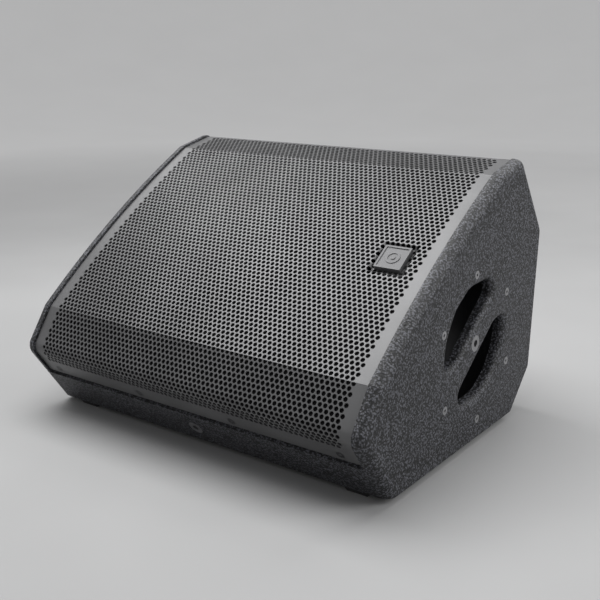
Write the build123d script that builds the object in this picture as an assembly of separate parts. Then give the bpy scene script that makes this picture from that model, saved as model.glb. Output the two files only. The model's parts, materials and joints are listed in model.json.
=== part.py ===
from build123d import *
import os
from math import cos, hypot, radians, sin

# Stage monitor wedge. Modelled with y = 0, z = 0 on the front bottom edge, +X to its right side
# seen from the front, +Y towards the back, +Z up. Every piece is moved to the row frame when saved.

# Cabinet outline, seen from the side
WIDTH = 540.0
BASE_LENGTH = 306.0
HEIGHT = 337.0
TOP_EDGE_Y = 308.0
REAR_CHAMFER = 50.0
BACK_RISE = 200.0
BACK_LEAN = 13.5
TOP_FACET = 58.0
TOP_FACET_SLOPE = 12.9
KICK_LENGTH = 104.6
KICK_ANGLE = 123.7
LOW_FACET = 63.0
LOW_FACET_SLOPE = 55.6
FACE_SAGITTA = 9.0
LOW_BEND_RADIUS = 18.0
TOP_EDGE_RADIUS = 12.0
SIDE_ROUNDOVER = 12.0

# Wood
PLY = 15.0
KICK_PLY = 22.0
BAFFLE_PLY = 18.0
BRACE_PLY = 15.0

# Grille and foam
GRILLE_RECESS = 3.0
GRILLE_SHEET = 1.5
GRILLE_END_GAP = 1.0
GRILLE_SIDE_GAP = 1.0
FLANGE_START = 57.0
REBATE_START = 53.5
FLANGE_LAND_END = 82.0
FOAM = 8.0
FOAM_GAP = 0.3
FOAM_MARGIN = 14.0
GRILLE_SCREW_U = 66.5
GRILLE_SCREW_X = (WIDTH / 2 - 194, WIDTH / 2 - 41.4)

# Badge, in a square pocket of the grille
BADGE = 35.0
BADGE_THICK = 5.0
BADGE_BORDER = 2.5
BADGE_EMBLEM_RING = 9.0
BADGE_X = WIDTH / 2 - 70
BADGE_FROM_TOP = 162.0
POCKET = 48.0
POCKET_DEPTH = 4.0
POCKET_WALL_ANGLE = 45.0
STUD_R = 2.0

# Handles
HANDLE_Y = 195.5
HANDLE_Z = 127.0
# Each corner of the upper finger opening: y and z from the handle's centre, and its radius
FINGER_OUTLINE = (
    (-77, -18, 10), (-74, 19, 50), (-54, 51, 50), (-20, 71.5, 50), (30, 73, 16), (44, 55.7, 12),
    (-47.5, -13.3, 30),
)
FINGER_ROUNDOVER = 8.0
CUP_Y = 197.7
CUP_Z = 118.6
CUP_INNER_R = 87.5
CUP_WALL = 2.5
CUP_DEPTH = 46.0
CUP_FLANGE_R = CUP_INNER_R + 13.5
CUP_FLANGE = 2.5
CUP_SCREW_R = CUP_INNER_R + 7
CUP_SCREW_FIRST = 35.0
CUP_GAP = 1.0

# Rigging points, M10
RIG_CORE_R = 4.25
RIG_FLANGE_R = 10.0
RIG_FLANGE = 1.5
RIG_SLEEVE_R = 7.0
RIG_LENGTH = 14.0
SIDE_RIG_Y = 192.5
SIDE_RIG_Z = 127.0
FRONT_RIG_U = 27.0
RIG_CLEAR = 0.1

# Fasteners
SCREW_R = 2.0
SCREW_HEAD_R = 5.25
SCREW_LENGTH = 14.0
SCREW_CLEAR = 0.2
DRIVE_R = 2.0
DRIVE_DEPTH = 1.8
BUTTON_HEAD = 2.4

# Feet
FOOT_HEIGHT = 8.0
FOOT_TOP = 38.0
FOOT_TAPER = 30.0
FOOT_CORNER = 6.0
FOOT_EDGE_Y = 21.8
FOOT_EDGE_X = 47.6
FOOT_BORE_R = 6.0
FOOT_BORE_DEPTH = 4.5

# Ports
PORT_X = WIDTH / 2 - 92
PORT_UP = -122.0
PORT_INNER_R = 23.0
PORT_WALL = 3.0
PORT_LENGTH = 90.0

# Low-frequency driver: radii and heights from the baffle's front, along its axis
FRAME_R = 156.0
BAFFLE_DEPTH = FRAME_R / 6
FRAME_FLANGE = 5.0
CUTOUT_R = FRAME_R - 13
FRAME_LIP_R = FRAME_R - 24
FRAME_WALL = 3.0
FRAME_DEPTH = 78.0
FRAME_FOOT_R = 82.0
SPIDER_Z = -60.0
SPIDER_R = FRAME_FOOT_R - 10
SPIDER_THICK = 0.8
CONE_R = FRAME_R - 35
CONE_THICK = 0.8
CONE_EDGE_Z = 4.0
CONE_NECK_Z = -48.0
FORMER_R = 38.0
FORMER_WALL = 0.5
COIL_WIRE = 0.8
COIL_LENGTH = 14.0
PLATE = 10.0
PLATE_R = 75.0
GAP_CLEAR = 1.0
POLE_CLEAR = 0.8
MAGNET_R = 80.0
MAGNET_HOLE_R = FORMER_R + 8
MAGNET = 18.0
BACK_PLATE = 8.0
HORN_THROAT_R = 17.0
HORN_MOUTH_R = 33.0
HORN_WALL = 1.5
HORN_MOUTH_Z = -30.0
FRAME_SCREWS = 8
GASKET = 2.0
GASKET_EDGE = 1.0
GASKET_WIDTH_START = 10.0
CONE_TRAVEL = 5.0

# High-frequency driver behind the woofer
HF_R = 48.0
HF_MAGNET = 14.0
HF_DOME_R = 22.0
HF_DOME = 0.4
HF_COVER = 18.0
HF_COVER_WALL = 2.0

# Crossover on the bottom panel
BOARD_X = 170.0
BOARD_Y = 84.0
BOARD = 1.6
BOARD_CENTRE_Y = 82.0
STANDOFF = 8.0
STANDOFF_R = 4.0

# Connection panel
PLATE_X = 120.0
PLATE_UP = 74.0
PLATE_THICK = 2.5
PLATE_CUT_MARGIN = 12.0
SOCKET_X = 34.0
SOCKET_R = 12.0
SOCKET_BODY_R = 14.0
SOCKET_FLANGE = 30.0
SOCKET_FLANGE_THICK = 2.0
SOCKET_DEPTH = 24.0
SOCKET_CORE_R = 5.0
SOCKET_CORE = 12.0
SWITCH_BODY = (16.0, 22.0, 14.0)
SWITCH_SLOT = (6.0, 14.0)
SWITCH_SLIDER = (5.6, 7.0)
SWITCH_PROUD = 3.0
SWITCH_TRAVEL = 6.0
DAMPING = 25.0

INNER_X = WIDTH / 2 - PLY


def step(point, angle, length):
    """The point a given length away, at an angle in degrees above +Y."""
    return (point[0] + length * cos(radians(angle)), point[1] + length * sin(radians(angle)))


# Corners of the side outline as (y, z), in order round the cabinet
FRONT_BOTTOM = (0.0, 0.0)
REAR_BOTTOM = (BASE_LENGTH, 0.0)
CHAMFER_TOP = (BASE_LENGTH + REAR_CHAMFER, REAR_CHAMFER)
BACK_TOP = (CHAMFER_TOP[0] + BACK_LEAN, CHAMFER_TOP[1] + BACK_RISE)
TOP_EDGE = (TOP_EDGE_Y, HEIGHT)
FACE_TOP = step(TOP_EDGE, 180 + TOP_FACET_SLOPE, TOP_FACET)
LOW_BEND = step(FRONT_BOTTOM, KICK_ANGLE, KICK_LENGTH)
FACE_BOTTOM = step(LOW_BEND, LOW_FACET_SLOPE, LOW_FACET)

BOTTOM = (FRONT_BOTTOM, REAR_BOTTOM)
CHAMFER = (REAR_BOTTOM, CHAMFER_TOP)
BACK = (CHAMFER_TOP, BACK_TOP)
REAR_TOP = (BACK_TOP, TOP_EDGE)
TOP = (TOP_EDGE, FACE_TOP)
FACE = (FACE_TOP, FACE_BOTTOM)
LOW = (FACE_BOTTOM, LOW_BEND)
KICK = (LOW_BEND, FRONT_BOTTOM)


def unit(edge):
    dy = edge[1][0] - edge[0][0]
    dz = edge[1][1] - edge[0][1]
    length = hypot(dy, dz)
    return (dy / length, dz / length)


def inward(edge):
    """The outline runs anticlockwise, so the inside is on the left of each edge."""
    dy, dz = unit(edge)
    return (-dz, dy)


def on_edge(edge, along, depth=0.0):
    """A point measured along an edge from its first corner and in from its surface."""
    (dy, dz), (ny, nz) = unit(edge), inward(edge)
    return (edge[0][0] + along * dy + depth * ny, edge[0][1] + along * dz + depth * nz)


def corner(edge_a, depth_a, edge_b, depth_b):
    """Where two edges cross when each is moved in by its own depth."""
    (ay, az), (by, bz) = on_edge(edge_a, 0, depth_a), on_edge(edge_b, 0, depth_b)
    (ady, adz), (bdy, bdz) = unit(edge_a), unit(edge_b)
    t = ((by - ay) * bdz - (bz - az) * bdy) / (ady * bdz - adz * bdy)
    return (ay + t * ady, az + t * adz)


def kick_point(up, depth):
    """A point on the kick panel, measured up from the front bottom edge."""
    return on_edge(KICK, KICK_LENGTH - up, depth)


def nearest(face, point):
    return min(face.vertices(), key=lambda v: hypot(v.X - point[0], v.Y - point[1]))


def outline_face(top_back, kick_end, bend_radius):
    """The front of the cabinet closed far behind it, with the curved main face."""
    middle = ((FACE_TOP[0] + FACE_BOTTOM[0]) / 2, (FACE_TOP[1] + FACE_BOTTOM[1]) / 2)
    ny, nz = inward(FACE)
    crown = (middle[0] - FACE_SAGITTA * ny, middle[1] - FACE_SAGITTA * nz)
    edges = Polyline(FACE_BOTTOM, LOW_BEND, *kick_end, *top_back, FACE_TOP)
    arc = ThreePointArc(FACE_TOP, crown, FACE_BOTTOM)
    face = make_face([*edges.edges(), arc])
    return fillet(nearest(face, LOW_BEND), bend_radius)


def cabinet_outline():
    face = outline_face((CHAMFER_TOP, BACK_TOP, TOP_EDGE), (FRONT_BOTTOM, REAR_BOTTOM), LOW_BEND_RADIUS)
    return fillet(nearest(face, TOP_EDGE), TOP_EDGE_RADIUS)


REACH = 400.0
OUTLINE = cabinet_outline()
FRONT = outline_face(
    (on_edge(KICK, KICK_LENGTH + REACH, REACH), on_edge(TOP, -REACH)),
    (on_edge(KICK, KICK_LENGTH + REACH),),
    LOW_BEND_RADIUS,
)


def front_layer(start, end):
    """The front skin between two depths, from behind the top edge to below the kick."""
    outer = offset(FRONT, amount=-start, kind=Kind.INTERSECTION) if start else FRONT
    return outer - offset(FRONT, amount=-end, kind=Kind.INTERSECTION)


def polygon(*points):
    return make_face(Polyline(*points, close=True))


def front_region(top_margin, kick_start):
    """Where a front layer is kept: ahead of the rear top panel and above a height on the kick."""
    return polygon(
        on_edge(REAR_TOP, REACH, top_margin),
        on_edge(REAR_TOP, -20, top_margin),
        kick_point(kick_start, REACH / 2),
        kick_point(kick_start, -REACH / 4),
        (LOW_BEND[0] - REACH, LOW_BEND[1]),
        (LOW_BEND[0] - REACH, HEIGHT + REACH),
    )


def across(face, x0, x1):
    """Extrude a side-view face from x0 to x1."""
    return Pos(x0, 0, 0) * extrude(Plane.YZ * face, amount=x1 - x0, dir=(1, 0, 0))


def turned(*points):
    """A solid turned about Z from (radius, height) points."""
    return revolve(Plane.XZ * polygon(*points), Axis.Z)


def ring(outer_r, inner_r, low, high):
    return turned((inner_r, low), (outer_r, low), (outer_r, high), (inner_r, high))


def rod(radius, low, high):
    return Pos(0, 0, low) * extrude(Circle(radius), high - low)


def block(size_x, size_y, low, high):
    return Pos(0, 0, low) * extrude(Rectangle(size_x, size_y), high - low)


def mirrored(shape):
    return mirror(shape, about=Plane.YZ)


def surface_plane(edge, along, depth=0.0, x=0.0):
    """A plane whose Z points out of a surface and whose X is the cabinet's."""
    y, z = on_edge(edge, along, depth)
    ny, nz = inward(edge)
    return Plane(origin=(x, y, z), x_dir=(1, 0, 0), z_dir=(0, -ny, -nz))


def length_of(edge):
    return hypot(edge[1][0] - edge[0][0], edge[1][1] - edge[0][1])


FACE_LENGTH = length_of(FACE)
DRIVER = surface_plane(FACE, FACE_LENGTH / 2, BAFFLE_DEPTH)
BADGE_PLANE = surface_plane(FACE, BADGE_FROM_TOP, GRILLE_RECESS - FACE_SAGITTA, BADGE_X)
FRONT_RIG = surface_plane(KICK, KICK_LENGTH - FRONT_RIG_U)
SIDE_RIG = Plane(origin=(WIDTH / 2, SIDE_RIG_Y, SIDE_RIG_Z), x_dir=(0, 1, 0), z_dir=(1, 0, 0))
CUP_PLANE = Plane(origin=(INNER_X, CUP_Y, CUP_Z), x_dir=(0, 1, 0), z_dir=(1, 0, 0))
INPUT = surface_plane(BACK, length_of(BACK) / 2)
GRILLE_SCREWS = [
    surface_plane(KICK, KICK_LENGTH - GRILLE_SCREW_U, GRILLE_RECESS, side * x)
    for x in GRILLE_SCREW_X
    for side in (-1, 1)
]
CUP_SCREWS = [
    CUP_PLANE * Pos(0, 0, PLY) * Rot(0, 0, CUP_SCREW_FIRST + 60 * i) * Pos(CUP_SCREW_R, 0, 0)
    for i in range(6)
]
FEET = [
    Pos(side * (WIDTH / 2 - FOOT_EDGE_X), y, 0)
    for y in (FOOT_EDGE_Y, BASE_LENGTH - FOOT_EDGE_Y)
    for side in (-1, 1)
]


# Fasteners

def drive_socket(top):
    return Pos(0, 0, top - DRIVE_DEPTH) * extrude(RegularPolygon(DRIVE_R, 6), DRIVE_DEPTH + 1)


def countersunk_screw(length):
    """Head flush with z = 0, shank towards -Z, with a hexagon socket."""
    taper = SCREW_HEAD_R - SCREW_R
    screw = turned((0, 0), (SCREW_HEAD_R, 0), (SCREW_R, -taper), (SCREW_R, -length), (0, -length))
    return screw - drive_socket(0)


def countersink(length):
    taper = SCREW_HEAD_R - SCREW_R
    wide = SCREW_HEAD_R + SCREW_CLEAR
    narrow = SCREW_R + SCREW_CLEAR
    return turned((0, 0), (wide, 0), (narrow, -taper), (narrow, -length), (0, -length))


def button_screw(length):
    """Domed head standing on z = 0, shank towards -Z."""
    head = turned(
        (0, -length), (SCREW_R, -length), (SCREW_R, 0), (SCREW_HEAD_R, 0),
        (SCREW_HEAD_R, BUTTON_HEAD * 0.35), (SCREW_HEAD_R * 0.62, BUTTON_HEAD), (0, BUTTON_HEAD),
    )
    return head - drive_socket(BUTTON_HEAD)


def screw_hole(length):
    return rod(SCREW_R + SCREW_CLEAR, -length, 1)


def rig_insert():
    """Flanged sleeve with its open threaded core, flush with z = 0."""
    return turned(
        (RIG_CORE_R, 0), (RIG_FLANGE_R, 0), (RIG_FLANGE_R, -RIG_FLANGE), (RIG_SLEEVE_R, -RIG_FLANGE),
        (RIG_SLEEVE_R, -RIG_LENGTH), (RIG_CORE_R, -RIG_LENGTH),
    )


def rig_pocket():
    return rod(RIG_FLANGE_R + RIG_CLEAR, -RIG_FLANGE, 1) + rod(RIG_SLEEVE_R + RIG_CLEAR, -RIG_LENGTH - 1, 1)


# Carcass

def finger_hole(turn):
    """One finger opening; the other is the same, half a turn round the handle's centre."""
    outline = polygon(*[(y, z) for y, z, _ in FINGER_OUTLINE])
    for y, z, radius in FINGER_OUTLINE:
        outline = fillet(nearest(outline, (y, z)), radius)
    placed = Plane(origin=(INNER_X, HANDLE_Y, HANDLE_Z), x_dir=(0, 1, 0), z_dir=(1, 0, 0))
    return placed * Rot(0, 0, turn) * Pos(0, 0, -1) * extrude(outline, PLY + 2)


def side_panel():
    panel = across(OUTLINE, INNER_X, WIDTH / 2)
    outer = panel.faces().sort_by(Axis.X)[-1]
    front = [e for e in outer.edges() if on_front(e)]
    panel = fillet(front, SIDE_ROUNDOVER)
    for turn in (0, 180):
        panel -= finger_hole(turn)
    rims = panel.faces().sort_by(Axis.X)[-1].inner_wires()
    panel = fillet([e for wire in rims for e in wire.edges()], FINGER_ROUNDOVER)
    panel -= SIDE_RIG * rig_pocket()
    for place in CUP_SCREWS:
        panel -= place * countersink(PLY + 1)
    return panel


def on_front(edge):
    """True for the outline's edges from the top edge round to the front bottom edge."""
    ny, nz = inward(REAR_TOP)
    centre = edge.center()
    behind = (centre.Y - TOP_EDGE[0]) * ny + (centre.Z - TOP_EDGE[1]) * nz
    low = centre.Z < 1 or centre.Y > BASE_LENGTH
    return behind > 0.5 and not low


def panel_face(edge_before, edge, edge_after, thickness=PLY):
    """A mitred board on one straight edge of the outline."""
    return polygon(
        corner(edge_before, 0, edge, 0),
        corner(edge, 0, edge_after, 0),
        corner(edge, thickness, edge_after, PLY),
        corner(edge_before, KICK_PLY if edge_before is KICK else PLY, edge, thickness),
    )


def board(face):
    return across(face & OUTLINE, -INNER_X, INNER_X)


def bottom_panel():
    panel = board(panel_face(KICK, BOTTOM, CHAMFER))
    for place in FEET:
        panel -= place * Pos(0, 0, -1) * rod(SCREW_R + SCREW_CLEAR, 0, PLY + 2)
    return panel


def rear_lower_panel():
    return board(panel_face(BOTTOM, CHAMFER, BACK))


def back_panel():
    panel = board(panel_face(CHAMFER, BACK, REAR_TOP))
    opening = block(PLATE_X - 2 * PLATE_CUT_MARGIN, PLATE_UP - 2 * PLATE_CUT_MARGIN, -PLY - 5, 1)
    panel -= INPUT * opening
    for place in input_screw_places():
        panel -= place * screw_hole(PLATE_THICK + PLY - 3)
    return panel


def rear_top_panel():
    under_grille = GRILLE_RECESS + GRILLE_SHEET
    face = polygon(
        corner(BACK, 0, REAR_TOP, 0),
        corner(REAR_TOP, 0, TOP, under_grille),
        corner(REAR_TOP, PLY, TOP, under_grille),
        corner(BACK, PLY, REAR_TOP, PLY),
    )
    return board(face)


def kick_panel():
    """Kick board with a step for the grille's flange and a deeper one for the foam."""
    land = GRILLE_RECESS + GRILLE_SHEET
    deep = land + FOAM_GAP + FOAM + FOAM_GAP
    face = polygon(
        kick_point(0, 0),
        kick_point(REBATE_START, 0),
        kick_point(REBATE_START, land),
        kick_point(FLANGE_LAND_END, land),
        kick_point(FLANGE_LAND_END, deep),
        corner(LOW, deep, KICK, deep),
        corner(LOW, deep, KICK, KICK_PLY),
        corner(KICK, KICK_PLY, BOTTOM, PLY),
    )
    panel = board(face - (front_layer(0, deep) & front_region(0, FLANGE_LAND_END)))
    panel -= FRONT_RIG * rig_pocket()
    for place in GRILLE_SCREWS:
        panel -= place * countersink(SCREW_LENGTH + 1)
    return panel


def cavity_face():
    """The inside of the carcass, up to the back of the foam."""
    deep = GRILLE_RECESS + GRILLE_SHEET + FOAM_GAP + FOAM + FOAM_GAP
    inside = polygon(
        corner(KICK, KICK_PLY, BOTTOM, PLY),
        corner(BOTTOM, PLY, CHAMFER, PLY),
        corner(CHAMFER, PLY, BACK, PLY),
        corner(BACK, PLY, REAR_TOP, PLY),
        corner(REAR_TOP, PLY, TOP, deep),
        corner(TOP, deep, FACE, deep),
        corner(FACE, deep, LOW, deep),
        corner(LOW, deep, KICK, KICK_PLY),
    )
    return inside


def baffle_board():
    band = polygon(
        on_edge(FACE, -REACH, BAFFLE_DEPTH),
        on_edge(FACE, FACE_LENGTH + REACH, BAFFLE_DEPTH),
        on_edge(FACE, FACE_LENGTH + REACH, BAFFLE_DEPTH + BAFFLE_PLY),
        on_edge(FACE, -REACH, BAFFLE_DEPTH + BAFFLE_PLY),
    )
    panel = board(band & cavity_face())
    panel -= DRIVER * rod(CUTOUT_R, -BAFFLE_PLY - 1, 1)
    for spot in frame_screw_spots():
        panel -= DRIVER * spot * screw_hole(BAFFLE_PLY + 1)
    for side in (-1, 1):
        panel -= DRIVER * Pos(side * PORT_X, PORT_UP, 0) * rod(PORT_INNER_R + PORT_WALL, -BAFFLE_PLY - 1, 1)
    return panel


def rear_brace():
    """Gusset that ties the bottom, rear lower and back panels together behind the driver."""
    inner_low = corner(BOTTOM, PLY, CHAMFER, PLY)
    inner_high = corner(CHAMFER, PLY, BACK, PLY)
    back_end = on_edge(BACK, length_of(BACK) / 2 - PLATE_UP / 2 - 6, PLY)
    face = polygon(
        (inner_low[0] - 62, inner_low[1]),
        inner_low,
        inner_high,
        back_end,
        (back_end[0] - 18, back_end[1]),
        (inner_low[0] - 62, inner_low[1] + 18),
    )
    return across(face, -BRACE_PLY / 2, BRACE_PLY / 2)


def port_tube(side):
    tube = ring(PORT_INNER_R + PORT_WALL, PORT_INNER_R, -PORT_LENGTH, 0)
    return DRIVER * Pos(side * PORT_X, PORT_UP, 0) * tube


def damping_foam():
    """Absorber slab glued inside the rear top panel."""
    run = length_of(REAR_TOP)
    face = polygon(
        on_edge(REAR_TOP, run * 0.2, PLY + FOAM_GAP),
        on_edge(REAR_TOP, run * 0.62, PLY + FOAM_GAP),
        on_edge(REAR_TOP, run * 0.62, PLY + FOAM_GAP + DAMPING),
        on_edge(REAR_TOP, run * 0.2, PLY + FOAM_GAP + DAMPING),
    )
    return across(face, -INNER_X + CUP_DEPTH + 10, INNER_X - CUP_DEPTH - 10)


# Grille, foam and badge

def pocket_pan(size, depth, low):
    """A square dish with sloping walls, open upwards."""
    return Pos(0, 0, low) * extrude(Rectangle(size, size), -depth, taper=POCKET_WALL_ANGLE)


def grille():
    half = INNER_X - GRILLE_SIDE_GAP
    under = GRILLE_RECESS + GRILLE_SHEET
    skin = front_layer(GRILLE_RECESS, under) & front_region(GRILLE_END_GAP, FLANGE_START)
    sheet = across(skin & OUTLINE, -half, half)
    rim = POCKET + 2 * GRILLE_SHEET
    sheet -= BADGE_PLANE * block(POCKET, POCKET, -GRILLE_SHEET - 1, 2)
    dish = pocket_pan(rim, POCKET_DEPTH + GRILLE_SHEET, 0) - pocket_pan(POCKET, POCKET_DEPTH, 0)
    dish -= pocket_pan(POCKET, 0.5, 0.4)
    sheet += BADGE_PLANE * dish
    sheet -= BADGE_PLANE * rod(STUD_R + SCREW_CLEAR, -20, 5)
    for place in GRILLE_SCREWS:
        sheet -= place * countersink(GRILLE_SHEET + 1)
    return sheet


def grille_foam():
    start = GRILLE_RECESS + GRILLE_SHEET + FOAM_GAP
    half = INNER_X - FOAM_MARGIN
    skin = front_layer(start, start + FOAM) & front_region(PLY + FOAM_GAP, FLANGE_LAND_END + FOAM_GAP)
    sheet = across(skin, -half, half)
    return sheet - BADGE_PLANE * block(POCKET + 8, POCKET + 8, -30, 10)


def grille_screws():
    return [place * countersunk_screw(SCREW_LENGTH) for place in GRILLE_SCREWS]


def badge():
    """Square plate with a raised border and a plain ring-and-dot emblem."""
    low = -POCKET_DEPTH
    high = low + BADGE_THICK
    plate = block(BADGE, BADGE, low, high + 1)
    inner = BADGE - 2 * BADGE_BORDER
    plate -= block(inner, inner, high, high + 2)
    plate += ring(BADGE_EMBLEM_RING, BADGE_EMBLEM_RING - 2.5, high, high + 0.8)
    plate += rod(3, high, high + 0.8)
    plate -= rod(STUD_R, low, low + 2)
    return BADGE_PLANE * plate


def badge_stud():
    """Stud pressed into the badge, with its speed nut behind the grille."""
    base = -POCKET_DEPTH
    stud = rod(STUD_R, base - 9, base + 2)
    nut = ring(7, STUD_R, base - GRILLE_SHEET - 1.5, base - GRILLE_SHEET)
    return BADGE_PLANE * (stud + nut)


# Handles and rigging points

def handle_cup():
    """Dish behind the finger openings, with its flange on the panel's inner face."""
    outer = CUP_INNER_R + CUP_WALL
    cup = turned(
        (0, -CUP_DEPTH), (outer, -CUP_DEPTH), (outer, -CUP_FLANGE), (CUP_FLANGE_R, -CUP_FLANGE),
        (CUP_FLANGE_R, 0), (CUP_INNER_R, 0), (CUP_INNER_R, CUP_WALL - CUP_DEPTH), (0, CUP_WALL - CUP_DEPTH),
    )
    cup = CUP_PLANE * cup
    for place in CUP_SCREWS:
        cup -= place * screw_hole(PLY + 5)
    keep = polygon(
        on_edge(FACE, -REACH, BAFFLE_DEPTH + BAFFLE_PLY + CUP_GAP),
        on_edge(FACE, FACE_LENGTH + REACH, BAFFLE_DEPTH + BAFFLE_PLY + CUP_GAP),
        on_edge(FACE, FACE_LENGTH + REACH, REACH),
        on_edge(FACE, -REACH, REACH),
    )
    return cup & across(keep, 0, WIDTH)


def handle_screws():
    return [place * countersunk_screw(PLY + CUP_FLANGE + 2) for place in CUP_SCREWS]


def rigging_insert_side():
    return SIDE_RIG * rig_insert()


def rigging_insert_front():
    return FRONT_RIG * rig_insert()


# Feet

def rubber_feet():
    """Tapered square feet, each with a bore for its screw's head."""
    foot = extrude(RectangleRounded(FOOT_TOP, FOOT_TOP, FOOT_CORNER), -FOOT_HEIGHT, taper=FOOT_TAPER)
    foot -= rod(FOOT_BORE_R, -FOOT_HEIGHT - 1, FOOT_BORE_DEPTH - FOOT_HEIGHT)
    foot -= rod(SCREW_R + SCREW_CLEAR, -FOOT_HEIGHT - 1, 1)
    return [place * foot for place in FEET]


def foot_screws():
    seat = FOOT_BORE_DEPTH - FOOT_HEIGHT
    screw = Pos(0, 0, seat) * Rot(180, 0, 0) * button_screw(SCREW_LENGTH)
    return [place * screw for place in FEET]


# Low-frequency driver, built about Z and placed on the baffle

def frame_screw_spots():
    """Screw places on the frame's flange, in the driver's own frame."""
    radius = (FRAME_LIP_R + GASKET_WIDTH_START + FRAME_R - GASKET_EDGE) / 2
    turn = 360 / FRAME_SCREWS
    return [Rot(0, 0, turn * (i + 0.5)) * Pos(radius, 0, FRAME_FLANGE) for i in range(FRAME_SCREWS)]


def woofer_basket():
    """Cast frame: mounting flange, six arms and the foot that carries the magnet."""
    wall_r = CUTOUT_R - 2
    foot = -FRAME_DEPTH
    shell = turned(
        (FRAME_LIP_R, FRAME_FLANGE), (FRAME_R, FRAME_FLANGE), (FRAME_R, 0), (wall_r, 0),
        (wall_r, -8), (FRAME_FOOT_R, foot), (FRAME_FOOT_R, foot - FRAME_WALL),
        (FORMER_R + 6, foot - FRAME_WALL), (FORMER_R + 6, foot), (SPIDER_R, foot),
        (SPIDER_R, SPIDER_Z - SPIDER_THICK), (FRAME_FOOT_R + 1, SPIDER_Z - SPIDER_THICK),
        (wall_r - 6, -8), (wall_r - 6, 0), (FRAME_LIP_R, 0),
    )
    window = Pos(FRAME_R, 0, -33) * Box(130, 70, 38)
    for i in range(6):
        shell -= Rot(0, 0, 60 * i) * window
    for spot in frame_screw_spots():
        shell -= spot * screw_hole(BAFFLE_PLY)
    return DRIVER * shell


def woofer_gasket():
    pad = ring(FRAME_R - GASKET_EDGE, FRAME_LIP_R + GASKET_WIDTH_START, FRAME_FLANGE, FRAME_FLANGE + GASKET)
    for spot in frame_screw_spots():
        pad -= spot * rod(SCREW_HEAD_R + SCREW_CLEAR, -1, GASKET + 1)
    return DRIVER * pad


def woofer_screws():
    return [DRIVER * spot * button_screw(BAFFLE_PLY) for spot in frame_screw_spots()]


def surround():
    """Half-roll edge between the cone and the frame."""
    low = FRAME_FLANGE
    roll_in = CONE_R + 0.6
    roll_out = FRAME_LIP_R + 0.4
    middle = (roll_in + roll_out) / 2
    radius = (roll_out - roll_in) / 2
    roll = make_face(Circle(radius).edge()) - make_face(Circle(radius - 0.8).edge())
    roll = Pos(middle, low) * roll & Pos(middle, low + radius) * Rectangle(4 * radius, 2 * radius)
    skirt_in = Pos(roll_in - 2.6, low + 0.4) * Rectangle(6, 0.8)
    skirt_out = Pos(roll_out + 3.5, low + 0.4) * Rectangle(7.8, 0.8)
    return DRIVER * revolve(Plane.XZ * (roll + skirt_in + skirt_out), Axis.Z)


def cone():
    """Thin paper cone from the edge down to the coil former."""
    neck = FORMER_R + FORMER_WALL
    thick = CONE_THICK * 1.6
    shell = turned(
        (neck, CONE_NECK_Z), (neck + 8, CONE_NECK_Z + 9), (CONE_R - 6, CONE_EDGE_Z - CONE_THICK),
        (CONE_R, CONE_EDGE_Z - CONE_THICK), (CONE_R, CONE_EDGE_Z + 0.9), (CONE_R - 7, CONE_EDGE_Z + 0.9),
        (neck + 7, CONE_NECK_Z + 9 + thick), (neck, CONE_NECK_Z + thick),
    )
    return DRIVER * shell


def spider():
    """Corrugated disc that centres the coil."""
    inner = FORMER_R + FORMER_WALL
    outer = SPIDER_R + 6
    waves = 5
    pitch = (SPIDER_R - inner - 4) / waves
    ripple = [(inner + 2 + pitch * (i + 0.5), SPIDER_Z + (1.6 if i % 2 else -1.6)) for i in range(waves)]
    high = [(inner, SPIDER_Z), (inner + 1, SPIDER_Z), *ripple, (SPIDER_R - 1, SPIDER_Z), (outer, SPIDER_Z)]
    low = [(r, z - SPIDER_THICK) for r, z in reversed(high)]
    return DRIVER * turned(*high, *low)


def coil_former():
    bottom = -FRAME_DEPTH - FRAME_WALL - PLATE / 2 - COIL_LENGTH / 2
    return DRIVER * ring(FORMER_R + FORMER_WALL, FORMER_R, bottom, CONE_NECK_Z + 2)


def voice_coil():
    middle = -FRAME_DEPTH - FRAME_WALL - PLATE / 2
    inner = FORMER_R + FORMER_WALL
    return DRIVER * ring(inner + COIL_WIRE, inner, middle - COIL_LENGTH / 2, middle + COIL_LENGTH / 2)


PLATE_TOP = -FRAME_DEPTH - FRAME_WALL
PLATE_LOW = PLATE_TOP - PLATE
MAGNET_LOW = PLATE_LOW - MAGNET
MOTOR_BACK = MAGNET_LOW - BACK_PLATE
POLE_R = FORMER_R - POLE_CLEAR
BORE_R = HORN_THROAT_R + HORN_WALL


def top_plate():
    hole = FORMER_R + FORMER_WALL + COIL_WIRE + GAP_CLEAR
    return DRIVER * ring(PLATE_R, hole, PLATE_LOW, PLATE_TOP)


def woofer_magnet():
    return DRIVER * ring(MAGNET_R, MAGNET_HOLE_R, MAGNET_LOW, PLATE_LOW)


def pole_piece():
    """Back plate and bored pole in one turned steel part."""
    return DRIVER * turned(
        (BORE_R, MOTOR_BACK), (PLATE_R, MOTOR_BACK), (PLATE_R, MAGNET_LOW), (POLE_R, MAGNET_LOW),
        (POLE_R, PLATE_TOP), (BORE_R, PLATE_TOP),
    )


def waveguide():
    """High-frequency horn: a tube in the pole that flares out inside the cone."""
    return DRIVER * turned(
        (HORN_THROAT_R, MOTOR_BACK), (BORE_R, MOTOR_BACK), (BORE_R, PLATE_TOP + 6),
        (HORN_MOUTH_R + HORN_WALL, HORN_MOUTH_Z), (HORN_MOUTH_R, HORN_MOUTH_Z),
        (HORN_THROAT_R, PLATE_TOP + 6),
    )


# High-frequency driver: phase plug in the throat, dome under it, magnet ring and rear cover
HF_TOP = MOTOR_BACK
HF_DOME_Z = HF_TOP - 4.0


def dome(radius, height, low):
    """A cap of a sphere standing on z = low."""
    sphere_r = (radius * radius + height * height) / (2 * height)
    ball = Pos(0, 0, low + height - sphere_r) * Sphere(sphere_r)
    return ball & (Pos(0, 0, low) * extrude(Circle(radius + 1), height + 1))


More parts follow.
